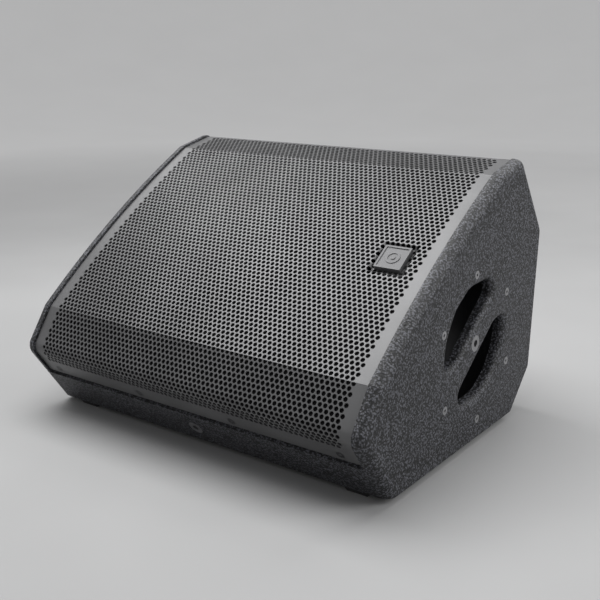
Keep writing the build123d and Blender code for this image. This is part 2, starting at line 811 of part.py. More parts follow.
def hf_phase_plug():
    plug = turned(
        (0, HF_TOP + 12), (6, HF_TOP + 3), (HORN_THROAT_R - 2, HF_TOP), (HF_DOME_R, HF_TOP),
        (HF_DOME_R, HF_TOP - 1), (0, HF_TOP - 1),
    )
    slot = ring(11, 8, HF_TOP - 3, HF_TOP + 14)
    spokes = Box(30, 2, 60)
    return DRIVER * (plug - (slot - Pos(0, 0, HF_TOP) * spokes))


def hf_diaphragm():
    height = 5.0
    low = HF_TOP - 8.0
    shell = dome(HF_DOME_R - 2, height, low) - dome(HF_DOME_R - 2 - HF_DOME, height - HF_DOME, low)
    skirt = ring(HF_DOME_R - 2, HF_DOME_R - 2 - HF_DOME, low - 6, low)
    return DRIVER * (shell + skirt)


def hf_magnet():
    """Magnet assembly with the ring groove that the dome's coil moves in."""
    top = HF_TOP
    low = top - HF_MAGNET - 6
    body = ring(HF_R, HF_DOME_R, low, top)
    body += rod(HF_DOME_R - 4, low, top - 14)
    body += rod(HF_DOME_R + 1, low, low + 3)
    return DRIVER * body


def hf_rear_cover():
    top = HF_TOP - HF_MAGNET - 6
    low = top - HF_COVER
    return DRIVER * turned(
        (0, low), (HF_R - 4, low), (HF_R, low + 4), (HF_R, top), (HF_R - HF_COVER_WALL, top),
        (HF_R - HF_COVER_WALL, low + 4 + HF_COVER_WALL / 2), (HF_R - 5, low + HF_COVER_WALL),
        (0, low + HF_COVER_WALL),
    )


# Crossover

BOARD_Z = PLY + STANDOFF
BOARD_TOP = BOARD_Z + BOARD


def on_board(x, y):
    return Pos(x, BOARD_CENTRE_Y + y, BOARD_TOP)


def standoff_places():
    half_x = BOARD_X / 2 - 7
    half_y = BOARD_Y / 2 - 7
    return [Pos(sx * half_x, BOARD_CENTRE_Y + sy * half_y, 0) for sx in (-1, 1) for sy in (-1, 1)]


def crossover_board():
    board_plate = Pos(0, BOARD_CENTRE_Y, BOARD_Z) * extrude(Rectangle(BOARD_X, BOARD_Y), BOARD)
    return board_plate


def crossover_standoffs():
    return [place * ring(STANDOFF_R, 1.6, PLY, BOARD_Z) for place in standoff_places()]


def crossover_inductors():
    """Two wound coils on bobbins, one flat and one on edge."""
    flat = ring(18, 8, 1, 17) + ring(20, 7, 0, 1) + ring(20, 7, 17, 18)
    upright = Pos(0, 0, 16) * Rot(0, 90, 0) * (ring(15, 7, -7, 7) + ring(16, 6, -8, -7) + ring(16, 6, 7, 8))
    return [on_board(-50, 8) * flat, on_board(48, 12) * upright]


def crossover_capacitors():
    """Film capacitors lying on the board."""
    body = Rot(0, 90, 0) * Cylinder(8, 30)
    return [on_board(x, y) * Pos(0, 0, 8) * body for x, y in ((2, 20), (2, -2), (12, -26))]


def crossover_resistors():
    body = Box(26, 8, 8)
    return [on_board(x, y) * Pos(0, 0, 4) * body for x, y in ((-52, -26), (-22, -26), (54, -24))]


# Connection panel on the back

def input_screw_places():
    half_x = PLATE_X / 2 - 6
    half_up = PLATE_UP / 2 - 6
    return [INPUT * Pos(sx * half_x, sy * half_up, PLATE_THICK) for sx in (-1, 1) for sy in (-1, 1)]


def input_plate():
    plate = extrude(RectangleRounded(PLATE_X, PLATE_UP, 4), PLATE_THICK)
    for side in (-1, 1):
        plate -= Pos(side * SOCKET_X, 0, 0) * rod(SOCKET_BODY_R + SCREW_CLEAR, -1, PLATE_THICK + 1)
    plate -= block(*SWITCH_SLOT, -1, PLATE_THICK + 1)
    plate = INPUT * plate
    for place in input_screw_places():
        plate -= place * screw_hole(PLATE_THICK + 1)
    return plate


def input_screws():
    return [place * button_screw(PLATE_THICK + PLY - 4) for place in input_screw_places()]


def socket(side):
    """Round locking socket: square flange, deep cup and a contact core at its foot."""
    floor = PLATE_THICK - SOCKET_DEPTH
    body = rod(SOCKET_BODY_R, floor - 2, PLATE_THICK)
    top = PLATE_THICK + SOCKET_FLANGE_THICK
    body += block(SOCKET_FLANGE, SOCKET_FLANGE, PLATE_THICK, top)
    body -= rod(SOCKET_R, floor, top + 1)
    body += rod(SOCKET_CORE_R, floor, floor + SOCKET_CORE)
    return INPUT * Pos(side * SOCKET_X, 0, 0) * body


def mode_switch_body():
    size_x, size_up, deep = SWITCH_BODY
    body = block(size_x, size_up, -deep, 0)
    body -= block(SWITCH_SLOT[0], SWITCH_SLOT[1], -deep + 3, 1)
    return INPUT * body


def mode_switch_slider():
    """Slider at rest in its lower place; the panel plane's Y points down."""
    deep = SWITCH_BODY[2]
    slider = block(*SWITCH_SLIDER, -deep + 3.2, PLATE_THICK + SWITCH_PROUD)
    for i in (-1, 0, 1):
        slider -= Pos(0, 2 * i, PLATE_THICK + SWITCH_PROUD) * Box(SWITCH_SLIDER[0] + 1, 0.8, 1)
    return INPUT * Pos(0, SWITCH_TRAVEL / 2, 0) * slider


# Placing and saving

side_box = (Plane.YZ * OUTLINE).bounding_box()
CENTRE_Y = (side_box.min.Y + side_box.max.Y) / 2
TO_ROW = Pos(0, -CENTRE_Y, FOOT_HEIGHT)


def save(name, shape):
    """Write one sub-part; a list of solids becomes one group."""
    solids = [s for part in shape for s in part.solids()] if isinstance(shape, list) else shape.solids()
    placed = [TO_ROW * s for s in solids]
    whole = placed[0] if len(placed) == 1 else Compound(children=placed)
    export_step(whole, f"parts/{name}.step")


def build():
    os.makedirs("parts", exist_ok=True)
    right_panel = side_panel()
    right_cup = handle_cup()
    right_screws = handle_screws()
    right_insert = rigging_insert_side()
    shapes = {
        "side_panel_right": right_panel,
        "side_panel_left": mirrored(right_panel),
        "bottom_panel": bottom_panel(),
        "rear_lower_panel": rear_lower_panel(),
        "back_panel": back_panel(),
        "rear_top_panel": rear_top_panel(),
        "kick_panel": kick_panel(),
        "baffle_board": baffle_board(),
        "rear_brace": rear_brace(),
        "port_tube_right": port_tube(1),
        "port_tube_left": port_tube(-1),
        "damping_foam": damping_foam(),
        "grille": grille(),
        "grille_foam": grille_foam(),
        "grille_screws": grille_screws(),
        "badge": badge(),
        "badge_stud": badge_stud(),
        "handle_cup_right": right_cup,
        "handle_cup_left": mirrored(right_cup),
        "handle_screws_right": right_screws,
        "handle_screws_left": [mirrored(s) for s in right_screws],
        "rigging_insert_right": right_insert,
        "rigging_insert_left": mirrored(right_insert),
        "rigging_insert_front": rigging_insert_front(),
        "rubber_feet": rubber_feet(),
        "foot_screws": foot_screws(),
        "woofer_basket": woofer_basket(),
        "woofer_gasket": woofer_gasket(),
        "woofer_screws": woofer_screws(),
        "surround": surround(),
        "cone": cone(),
        "spider": spider(),
        "coil_former": coil_former(),
        "voice_coil": voice_coil(),
        "top_plate": top_plate(),
        "woofer_magnet": woofer_magnet(),
        "pole_piece": pole_piece(),
        "waveguide": waveguide(),
        "hf_phase_plug": hf_phase_plug(),
        "hf_diaphragm": hf_diaphragm(),
        "hf_magnet": hf_magnet(),
        "hf_rear_cover": hf_rear_cover(),
        "crossover_board": crossover_board(),
        "crossover_standoffs": crossover_standoffs(),
        "crossover_inductors": crossover_inductors(),
        "crossover_capacitors": crossover_capacitors(),
        "crossover_resistors": crossover_resistors(),
        "input_plate": input_plate(),
        "input_screws": input_screws(),
        "socket_in": socket(-1),
        "socket_link": socket(1),
        "mode_switch_body": mode_switch_body(),
        "mode_switch_slider": mode_switch_slider(),
    }
    for name, shape in shapes.items():
        save(name, shape)


def report(name, plane, along=0.0):
    """Print a place and its outward direction in the row frame, in millimetres."""
    point = (TO_ROW * (plane.location * Pos(0, 0, along))).position
    direction = plane.z_dir
    print(name, [round(v, 3) for v in point], [round(v, 5) for v in direction])


build()
report("rigging right", SIDE_RIG, -RIG_LENGTH / 2)
report("rigging front", FRONT_RIG, -RIG_LENGTH / 2)
report("driver axis", DRIVER)
report("connection panel", INPUT)
report("badge", BADGE_PLANE)
print("centre", round(CENTRE_Y, 3), "cone travel", CONE_TRAVEL)
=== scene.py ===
"""Looks of the stage monitor wedge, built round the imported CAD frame. Units are metres."""
import json
from math import cos, hypot, pi, radians, sin

import bmesh
import bpy
import numpy as np
from mathutils import Matrix, Vector


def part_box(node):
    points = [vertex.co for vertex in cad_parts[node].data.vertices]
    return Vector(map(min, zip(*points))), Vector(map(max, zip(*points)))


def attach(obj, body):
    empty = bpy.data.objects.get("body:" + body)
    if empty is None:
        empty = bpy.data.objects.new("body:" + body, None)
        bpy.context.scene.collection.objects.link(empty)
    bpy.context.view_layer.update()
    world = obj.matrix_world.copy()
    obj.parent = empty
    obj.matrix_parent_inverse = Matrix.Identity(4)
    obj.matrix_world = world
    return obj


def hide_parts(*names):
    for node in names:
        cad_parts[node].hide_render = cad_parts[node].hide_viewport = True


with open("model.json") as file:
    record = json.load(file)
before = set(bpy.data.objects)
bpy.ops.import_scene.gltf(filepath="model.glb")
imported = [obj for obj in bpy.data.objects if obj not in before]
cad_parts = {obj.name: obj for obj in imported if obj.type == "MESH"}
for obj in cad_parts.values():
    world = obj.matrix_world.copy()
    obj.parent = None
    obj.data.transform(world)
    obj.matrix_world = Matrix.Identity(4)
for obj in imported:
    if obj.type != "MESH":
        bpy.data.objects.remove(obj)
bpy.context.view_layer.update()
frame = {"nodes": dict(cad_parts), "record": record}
CAD = frame["nodes"]

MM = 0.001

# The cabinet's side outline, as in the CAD, with y = z = 0 on its front bottom edge
PANEL_LOW, PANEL_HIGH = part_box("side_panel_right")
BACK_EDGE = 369.5 * MM
HALF_WIDTH = PANEL_HIGH.x
PLY = PANEL_HIGH.x - PANEL_LOW.x
SHIFT_Y = PANEL_HIGH.y - BACK_EDGE
SHIFT_Z = PANEL_LOW.z
KICK_ANGLE = radians(123.7)
KICK_LENGTH = 104.6 * MM
LOW_SLOPE = radians(55.6)
LOW_FACET = 63 * MM
TOP_EDGE = (308 * MM, 337 * MM)
TOP_SLOPE = radians(12.9)
TOP_FACET = 58 * MM
SAGITTA = 9 * MM
BEND_RADIUS = 18 * MM

# Grille
RECESS = 3 * MM
SHEET = 1.5 * MM
SIDE_GAP = 1 * MM
END_GAP = 4 * MM
FLANGE_START = 57 * MM
HOLE_R = 2.8 * MM
PITCH = 7 * MM
HOLE_SIDES = 12
FIELD_HALF = 239 * MM
FIELD_END_UP = 80 * MM
FIRST_ROW_GAP = 5.6 * MM
POCKET = 48 * MM
POCKET_DEPTH = 4 * MM
BADGE_X = 200 * MM
BADGE_FROM_TOP = 162 * MM


def row_y(y):
    return y + SHIFT_Y


def row_z(z):
    return z + SHIFT_Z


# Materials

def new_material(name):
    mat = bpy.data.materials.new(name)
    mat.use_nodes = True
    tree = mat.node_tree
    shader = tree.nodes["Principled BSDF"]
    return mat, tree, shader


def ramp(tree, source, low, high, colour_low, colour_high):
    node = tree.nodes.new("ShaderNodeValToRGB")
    node.color_ramp.elements[0].position = low
    node.color_ramp.elements[1].position = high
    node.color_ramp.elements[0].color = (*colour_low, 1)
    node.color_ramp.elements[1].color = (*colour_high, 1)
    tree.links.new(source, node.inputs["Fac"])
    return node.outputs["Color"]


def noise(tree, scale, detail=3, roughness=0.55, stretch=None):
    coords = tree.nodes.new("ShaderNodeTexCoord")
    source = coords.outputs["Object"]
    if stretch:
        mapping = tree.nodes.new("ShaderNodeMapping")
        mapping.inputs["Scale"].default_value = stretch
        tree.links.new(source, mapping.inputs["Vector"])
        source = mapping.outputs["Vector"]
    node = tree.nodes.new("ShaderNodeTexNoise")
    node.inputs["Scale"].default_value = scale
    node.inputs["Detail"].default_value = detail
    node.inputs["Roughness"].default_value = roughness
    tree.links.new(source, node.inputs["Vector"])
    return node.outputs["Fac"]


def cells(tree, scale, feature="F1", randomness=1.0):
    coords = tree.nodes.new("ShaderNodeTexCoord")
    node = tree.nodes.new("ShaderNodeTexVoronoi")
    node.feature = feature
    node.inputs["Scale"].default_value = scale
    node.inputs["Randomness"].default_value = randomness
    tree.links.new(coords.outputs["Object"], node.inputs["Vector"])
    return node.outputs["Distance"]


def mix(tree, kind, a, b):
    node = tree.nodes.new("ShaderNodeMath")
    node.operation = kind
    for i, value in enumerate((a, b)):
        if isinstance(value, (int, float)):
            node.inputs[i].default_value = value
        else:
            tree.links.new(value, node.inputs[i])
    return node.outputs[0]


def bump(tree, shader, height, strength, distance):
    node = tree.nodes.new("ShaderNodeBump")
    node.inputs["Strength"].default_value = strength
    node.inputs["Distance"].default_value = distance
    tree.links.new(height, node.inputs["Height"])
    tree.links.new(node.outputs["Normal"], shader.inputs["Normal"])


def map_range(tree, source, low, high, to_low, to_high):
    node = tree.nodes.new("ShaderNodeMapRange")
    node.inputs["From Min"].default_value = low
    node.inputs["From Max"].default_value = high
    node.inputs["To Min"].default_value = to_low
    node.inputs["To Max"].default_value = to_high
    tree.links.new(source, node.inputs["Value"])
    return node.outputs["Result"]


def coat_material():
    """Sprayed polyurethane coat: a random pebble, with painted highlights on its tips and painted shade in
    its pits.
    """
    mat, tree, shader = new_material("textured_coat")
    pebble = cells(tree, 430, "SMOOTH_F1")
    clumps = noise(tree, 330, 4, 0.7)
    height = mix(tree, "ADD", mix(tree, "MULTIPLY", pebble, -1.0), mix(tree, "MULTIPLY", clumps, 1.1))
    broad = noise(tree, 9, 2)
    # Colour follows the pebble height: a painted, slightly bluish highlight on the raised tips and painted
    # shade in the pits.
    pebble_highlight_and_shade = ramp(tree, height, 0.08, 0.34, (0.003, 0.0032, 0.004), (0.088, 0.090, 0.103))
    tree.links.new(pebble_highlight_and_shade, shader.inputs["Base Color"])
    rough = map_range(tree, broad, 0.3, 0.7, 0.50, 0.60)
    tree.links.new(rough, shader.inputs["Roughness"])
    shader.inputs["Specular IOR Level"].default_value = 0.5
    bump(tree, shader, height, 0.75, 0.0009)
    return mat


def powder_material(name, colour, rough, scale=900, strength=0.12, metallic=0.0):
    """Smooth powder coat with a faint orange peel."""
    mat, tree, shader = new_material(name)
    peel = noise(tree, scale, 2)
    broad = noise(tree, 14, 2)
    low = tuple(c * 0.88 for c in colour)
    high = tuple(c * 1.12 for c in colour)
    tree.links.new(ramp(tree, broad, 0.3, 0.7, low, high), shader.inputs["Base Color"])
    tree.links.new(map_range(tree, peel, 0.3, 0.7, rough - 0.04, rough + 0.04), shader.inputs["Roughness"])
    shader.inputs["Metallic"].default_value = metallic
    bump(tree, shader, peel, strength, 0.0002)
    return mat


def foam_material(name, colour):
    mat, tree, shader = new_material(name)
    pores = cells(tree, 900)
    coarse = noise(tree, 160, 3)
    height = mix(tree, "ADD", pores, mix(tree, "MULTIPLY", coarse, 0.5))
    # Colour follows the bump height: the pits get painted shade, darker than the struts.
    pore_shade_colour = tuple(c * 0.45 for c in colour)
    tree.links.new(ramp(tree, height, 0.2, 0.8, pore_shade_colour, colour), shader.inputs["Base Color"])
    shader.inputs["Roughness"].default_value = 0.95
    shader.inputs["Specular IOR Level"].default_value = 0.2
    bump(tree, shader, height, 0.8, 0.0008)
    return mat


def metal_material(name, colour, rough, grain=(1, 1, 1), scale=400):
    """Bare or plated metal with a fine grain and a few darker stains."""
    mat, tree, shader = new_material(name)
    lines = noise(tree, scale, 3, 0.6, grain)
    stains = noise(tree, 60, 3)
    low = tuple(c * 0.78 for c in colour)
    tree.links.new(ramp(tree, stains, 0.25, 0.65, low, colour), shader.inputs["Base Color"])
    tree.links.new(map_range(tree, lines, 0.25, 0.75, rough - 0.07, rough + 0.09), shader.inputs["Roughness"])
    shader.inputs["Metallic"].default_value = 1.0
    bump(tree, shader, lines, 0.08, 0.0001)
    return mat


def plastic_material(name, colour, rough, scale=700, strength=0.2):
    mat, tree, shader = new_material(name)
    grain = noise(tree, scale, 2)
    broad = noise(tree, 20, 2)
    low = tuple(c * 0.85 for c in colour)
    tree.links.new(ramp(tree, broad, 0.3, 0.7, low, colour), shader.inputs["Base Color"])
    tree.links.new(map_range(tree, grain, 0.3, 0.7, rough - 0.05, rough + 0.05), shader.inputs["Roughness"])
    bump(tree, shader, grain, strength, 0.0002)
    return mat


def ply_material():
    mat, tree, shader = new_material("bare_plywood")
    grain = noise(tree, 30, 5, 0.6, (0.6, 9, 9))
    wood = ramp(tree, grain, 0.3, 0.7, (0.42, 0.28, 0.16), (0.66, 0.50, 0.33))
    tree.links.new(wood, shader.inputs["Base Color"])
    shader.inputs["Roughness"].default_value = 0.6
    bump(tree, shader, grain, 0.2, 0.0003)
    return mat


def cloth_material(name, colour, scale=900):
    mat, tree, shader = new_material(name)
    weave = cells(tree, scale, "F1", 0.15)
    low = tuple(c * 0.6 for c in colour)
    tree.links.new(ramp(tree, weave, 0.1, 0.6, colour, low), shader.inputs["Base Color"])
    shader.inputs["Roughness"].default_value = 0.85
    bump(tree, shader, weave, 0.4, 0.0003)
    return mat


MATERIALS = {
    "coat": coat_material(),
    "bare_ply": ply_material(),
    "grille_paint": powder_material("grille_paint", (0.10, 0.10, 0.102), 0.38, metallic=0.35),
    # Grille foam: the foam's own black, set darker still so the holes read black; partly real colour, partly
    # painted shade behind the grille.
    "foam": foam_material("grille_foam", (0.006, 0.006, 0.0065)),
    "damping": foam_material("damping_foam", (0.15, 0.15, 0.16)),
    "screw_zinc": metal_material("screw_zinc", (0.36, 0.36, 0.37), 0.45),
    "screw_black": powder_material("screw_black", (0.045, 0.045, 0.05), 0.4, metallic=0.5),
    "insert_steel": metal_material("insert_steel", (0.34, 0.34, 0.35), 0.45),
    "badge_metal": powder_material("badge_metal", (0.085, 0.085, 0.088), 0.46, metallic=0.2),
    "cup_plastic": plastic_material("cup_plastic", (0.012, 0.012, 0.013), 0.55),
    "foot_rubber": plastic_material("foot_rubber", (0.022, 0.022, 0.023), 0.75, 500, 0.4),
    "cast_frame": powder_material("cast_frame", (0.06, 0.06, 0.063), 0.5, 500, 0.3),
    "cone_paper": cloth_material("cone_paper", (0.035, 0.035, 0.037), 500),
    "surround_cloth": cloth_material("surround_cloth", (0.04, 0.04, 0.04)),
    "spider_cloth": cloth_material("spider_cloth", (0.50, 0.30, 0.13)),
    "former_film": plastic_material("former_film", (0.42, 0.26, 0.08), 0.35),
    "copper": metal_material("copper_wire", (0.72, 0.36, 0.18), 0.35, (1, 1, 30)),
    "motor_steel": metal_material("motor_steel", (0.42, 0.42, 0.44), 0.42),
    "ferrite": plastic_material("ferrite", (0.045, 0.045, 0.05), 0.5, 300, 0.5),
    "horn_plastic": plastic_material("horn_plastic", (0.02, 0.02, 0.022), 0.45),
    "dome_metal": metal_material("dome_metal", (0.66, 0.66, 0.68), 0.3),
    "circuit_board": plastic_material("circuit_board", (0.03, 0.16, 0.07), 0.4),
    "capacitor_film": plastic_material("capacitor_film", (0.70, 0.52, 0.06), 0.3),
    "resistor_ceramic": plastic_material("resistor_ceramic", (0.74, 0.72, 0.66), 0.8),
    "plate_paint": powder_material("plate_paint", (0.028, 0.028, 0.032), 0.5, 900, 0.5),
    "socket_plastic": plastic_material("socket_plastic", (0.02, 0.02, 0.022), 0.4),
    "switch_plastic": plastic_material("switch_plastic", (0.10, 0.10, 0.11), 0.5),
}
SLOT_OF = {s["node"]: s["material_slot"] for s in frame["record"]["subparts"]}
for node, obj in CAD.items():
    obj.data.materials.clear()
    obj.data.materials.append(MATERIALS[SLOT_OF[node]])
    for face in obj.data.polygons:
        face.use_smooth = True
    obj.data.set_sharp_from_angle(angle=radians(32))


# The skin's line from the rear top edge down to the kick, as a function of the distance along it

def step(point, angle, length):
    return (point[0] + length * cos(angle), point[1] + length * sin(angle))


FACE_TOP = step(TOP_EDGE, pi + TOP_SLOPE, TOP_FACET)
LOW_BEND = step((0, 0), KICK_ANGLE, KICK_LENGTH)
FACE_BOTTOM = step(LOW_BEND, LOW_SLOPE, LOW_FACET)
CHORD = hypot(FACE_TOP[0] - FACE_BOTTOM[0], FACE_TOP[1] - FACE_BOTTOM[1])
FACE_RADIUS = (CHORD * CHORD / 4 + SAGITTA * SAGITTA) / (2 * SAGITTA)
FACE_ARC = 2 * FACE_RADIUS * np.arcsin(CHORD / 2 / FACE_RADIUS)
BEND_TURN = KICK_ANGLE - LOW_SLOPE
BEND_SETBACK = BEND_RADIUS * np.tan(BEND_TURN / 2)
BEND_ARC = BEND_RADIUS * BEND_TURN
STARTS = np.cumsum([0, TOP_FACET, FACE_ARC, LOW_FACET - BEND_SETBACK, BEND_ARC])
SKIN_LENGTH = STARTS[4] + KICK_LENGTH - BEND_SETBACK - FLANGE_START


def arc_centre():
    my = (FACE_TOP[0] + FACE_BOTTOM[0]) / 2
    mz = (FACE_TOP[1] + FACE_BOTTOM[1]) / 2
    ny = (FACE_TOP[1] - FACE_BOTTOM[1]) / CHORD
    nz = -(FACE_TOP[0] - FACE_BOTTOM[0]) / CHORD
    back = FACE_RADIUS - SAGITTA
    return (my + ny * back, mz + nz * back)


def bend_centre():
    start = step(FACE_BOTTOM, LOW_SLOPE + pi, LOW_FACET - BEND_SETBACK)
    return step(start, LOW_SLOPE - pi / 2, BEND_RADIUS)


ARC_CENTRE = arc_centre()
BEND_CENTRE = bend_centre()
ARC_START = np.arctan2(FACE_TOP[1] - ARC_CENTRE[1], FACE_TOP[0] - ARC_CENTRE[0])


def skin_point(along, depth):
    """Row-frame y and z of points on the skin: arrays of distance along it and depth below it."""
    y = np.empty_like(along)
    z = np.empty_like(along)

    def straight(mask, origin, angle, start):
        run = along[mask] - start
        inward = angle + pi / 2
        y[mask] = origin[0] + run * cos(angle) + depth[mask] * cos(inward)
        z[mask] = origin[1] + run * sin(angle) + depth[mask] * sin(inward)

    def curved(mask, centre, radius, first_angle, start):
        turn = first_angle + (along[mask] - start) / radius
        y[mask] = centre[0] + (radius - depth[mask]) * np.cos(turn)
        z[mask] = centre[1] + (radius - depth[mask]) * np.sin(turn)

    part = np.clip(np.searchsorted(STARTS, along, side="right") - 1, 0, 4)
    straight(part == 0, TOP_EDGE, pi + TOP_SLOPE, 0)
    curved(part == 1, ARC_CENTRE, FACE_RADIUS, ARC_START, STARTS[1])
    straight(part == 2, FACE_BOTTOM, pi + LOW_SLOPE, STARTS[2])
    curved(part == 3, BEND_CENTRE, BEND_RADIUS, LOW_SLOPE + pi / 2, STARTS[3])
    bend_end = step(BEND_CENTRE, KICK_ANGLE + pi / 2, BEND_RADIUS)
    straight(part == 4, bend_end, KICK_ANGLE + pi, STARTS[4])
    return y + SHIFT_Y, z + SHIFT_Z


# Grille: a hexagonal lattice of punched holes in the flat, folded onto the skin

ROW_STEP = PITCH * 3 ** 0.5 / 2
CORNER_R = PITCH / 3 ** 0.5
FIRST_ROW = END_GAP + FIRST_ROW_GAP
FIELD_END = STARTS[4] + KICK_LENGTH - BEND_SETBACK - FIELD_END_UP
ROWS = int((FIELD_END - FIRST_ROW) / ROW_STEP) + 1
PER_ROW = int(2 * FIELD_HALF / PITCH)
GRILLE_HALF = HALF_WIDTH - PLY - SIDE_GAP


def row_cells(row):
    """Hole centres of one row; every other row is half a pitch aside."""
    offset = (row % 2 - 0.5) * PITCH / 2
    return [(i - (PER_ROW - 1) / 2) * PITCH + offset for i in range(PER_ROW)]


class FlatSheet:
    """A growing flat mesh of shared points."""

    def __init__(self):
        self.points = []
        self.index = {}
        self.faces = []

    def add(self, x, s):
        key = (round(x * 1e6), round(s * 1e6))
        if key not in self.index:
            self.index[key] = len(self.points)
            self.points.append((x, s))
        return self.index[key]

    def cell(self, x, s):
        """A hexagon with a round hole."""
        corners = [(x + CORNER_R * sin(k * pi / 3), s + CORNER_R * cos(k * pi / 3)) for k in range(6)]
        outer = [self.add(*c) for c in corners]
        rim = []
        for k in range(HOLE_SIDES):
            turn = 2 * pi * (k + 0.5) / HOLE_SIDES
            rim.append(self.add(x + HOLE_R * sin(turn), s + HOLE_R * cos(turn)))
        per = HOLE_SIDES // 6
        for k in range(6):
            first = k * per
            fan = [rim[(first + i) % HOLE_SIDES] for i in range(per)]
            before = rim[(first - 1) % HOLE_SIDES]
            self.faces.append((outer[k], fan[0], before))
            for i in range(per - 1):
                self.faces.append((outer[k], fan[i + 1], fan[i]))
            self.faces.append((outer[k], outer[(k + 1) % 6], fan[-1]))


def grille_flat(first_row, last_row, s_top, s_bottom):
    """The flat pattern from one row to another, filled out to straight edges."""
    sheet = FlatSheet()
    for row in range(first_row, last_row):
        for x in row_cells(row):
            sheet.cell(x, FIRST_ROW + row * ROW_STEP)
    chains = {-1: [], 1: []}
    if s_top is None:
        above = row_cells(first_row - 1)
        s = FIRST_ROW + (first_row - 1) * ROW_STEP + CORNER_R / 2
        chains[-1].append((above[0] - PITCH / 2, s))
        chains[1].append((above[-1] + PITCH / 2, s))
    for row in range(first_row, last_row):
        s = FIRST_ROW + row * ROW_STEP
        xs = row_cells(row)
        for side, x in ((-1, xs[0] - PITCH / 2), (1, xs[-1] + PITCH / 2)):
            chains[side] += [(x, s - CORNER_R / 2), (x, s + CORNER_R / 2)]
    for side, chain in chains.items():
        for a, b in zip(chain, chain[1:]):
            edge_a = sheet.add(side * GRILLE_HALF, a[1])
            edge_b = sheet.add(side * GRILLE_HALF, b[1])
            sheet.faces.append((sheet.add(*a), edge_a, edge_b, sheet.add(*b)))
    for row, way, limit in ((first_row, -1, s_top), (last_row - 1, 1, s_bottom)):
        if limit is None:
            continue
        s = FIRST_ROW + row * ROW_STEP
        chain = []
        for x in row_cells(row):
            chain += [(x - PITCH / 2, s + way * CORNER_R / 2), (x, s + way * CORNER_R)]
        chain.append((row_cells(row)[-1] + PITCH / 2, s + way * CORNER_R / 2))
        rim = [(-GRILLE_HALF, chain[0][1]), *chain, (GRILLE_HALF, chain[-1][1])]
        for a, b in zip(rim, rim[1:]):
            sheet.faces.append((sheet.add(*a), sheet.add(*b), sheet.add(b[0], limit), sheet.add(a[0], limit)))
    return sheet


def mesh_object(name, points, faces, slot, body="cabinet", smooth=30):
    mesh = bpy.data.meshes.new(name)
    mesh.from_pydata([tuple(p) for p in points], [], faces)
    mesh.validate()
    bm = bmesh.new()
    bm.from_mesh(mesh)
    bmesh.ops.recalc_face_normals(bm, faces=bm.faces)
    bm.to_mesh(mesh)
    bm.free()
    return finish_object(name, mesh, slot, body, smooth)


def finish_object(name, mesh, slot, body="cabinet", smooth=30):
    for face in mesh.polygons:
        face.use_smooth = True
    mesh.set_sharp_from_angle(angle=radians(smooth))
    mesh.materials.clear()
    mesh.materials.append(MATERIALS[slot])
    obj = bpy.data.objects.new(name, mesh)
    bpy.context.scene.collection.objects.link(obj)
    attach(obj, body)
    return obj


def cut_lines(bm, places, normal, keep=None):
    """Cut the flat mesh along straight lines, only inside a region if one is given."""
    for place in places:
        faces = [f for f in bm.faces if keep is None or keep(f)]
        geom = set(faces)
        for f in faces:
            geom.update(f.edges)
            geom.update(f.verts)
        bmesh.ops.bisect_plane(bm, geom=list(geom), dist=1e-7, plane_co=place, plane_no=normal)


def pocket_depth(x, s):
    """How far the sheet is pressed in round the badge."""
    reach = np.maximum(np.abs(x - BADGE_X), np.abs(s - BADGE_SKIN))
    return np.clip(POCKET / 2 - reach, 0, POCKET_DEPTH)


BADGE_SKIN = TOP_FACET + BADGE_FROM_TOP + 0.5 * MM


def near_badge(face):
    c = face.calc_center_median()
    return abs(c.x - BADGE_X) < POCKET / 2 + PITCH and abs(c.y - BADGE_SKIN) < POCKET / 2 + PITCH


def grille_piece(name, first_row, last_row, s_top, s_bottom):
    flat = grille_flat(first_row, last_row, s_top, s_bottom)
    bm = bmesh.new()
    verts = [bm.verts.new((x, s, 0)) for x, s in flat.points]
    for face in flat.faces:
        bm.faces.new([verts[i] for i in face])
    low = min(p[1] for p in flat.points)
    high = max(p[1] for p in flat.points)
    folds = [STARTS[1], STARTS[2], *np.linspace(STARTS[3], STARTS[4], 7)]
    cut_lines(bm, [(0, s, 0) for s in folds if low < s < high], (0, 1, 0))
    if low < BADGE_SKIN < high:
        for step_in in (POCKET / 2, POCKET / 2 - POCKET_DEPTH):
            cut_lines(bm, [(BADGE_X + k * step_in, 0, 0) for k in (-1, 1)], (1, 0, 0), near_badge)
            cut_lines(bm, [(0, BADGE_SKIN + k * step_in, 0) for k in (-1, 1)], (0, 1, 0), near_badge)
    bm.verts.ensure_lookup_table()
    front = list(bm.faces)
    copied = bmesh.ops.duplicate(bm, geom=list(bm.verts) + list(bm.edges) + front)
    twin = copied["vert_map"]
    back_verts = {v for v in copied["geom"] if isinstance(v, bmesh.types.BMVert)}
    rims = [e for f in front for e in f.edges if len(e.link_faces) == 1]
    for f in [g for g in copied["geom"] if isinstance(g, bmesh.types.BMFace)]:
        f.normal_flip()
    for e in set(rims):
        a, b = e.verts
        bm.faces.new((a, b, twin[b], twin[a]))
    bm.verts.index_update()
    co = np.array([v.co for v in bm.verts])
    is_back = np.array([v in back_verts for v in bm.verts])
    sunk = pocket_depth(co[:, 0], co[:, 1])
    depth = RECESS + sunk + np.where(is_back, SHEET, 0)
    y, z = skin_point(co[:, 1], depth)
    for v, yy, zz in zip(bm.verts, y, z):
        v.co = (v.co.x, yy, zz)
    bmesh.ops.recalc_face_normals(bm, faces=bm.faces)
    mesh = bpy.data.meshes.new(name)
    bm.to_mesh(mesh)
    bm.free()
    return finish_object(name, mesh, "grille_paint", smooth=15)


SPLIT_ROW = ROWS // 2
grille_upper = grille_piece("grille_upper", 0, SPLIT_ROW, END_GAP, None)
grille_lower = grille_piece("grille_lower", SPLIT_ROW, ROWS, None, SKIN_LENGTH)
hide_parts("grille")
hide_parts("grille")


# Foam behind the grille

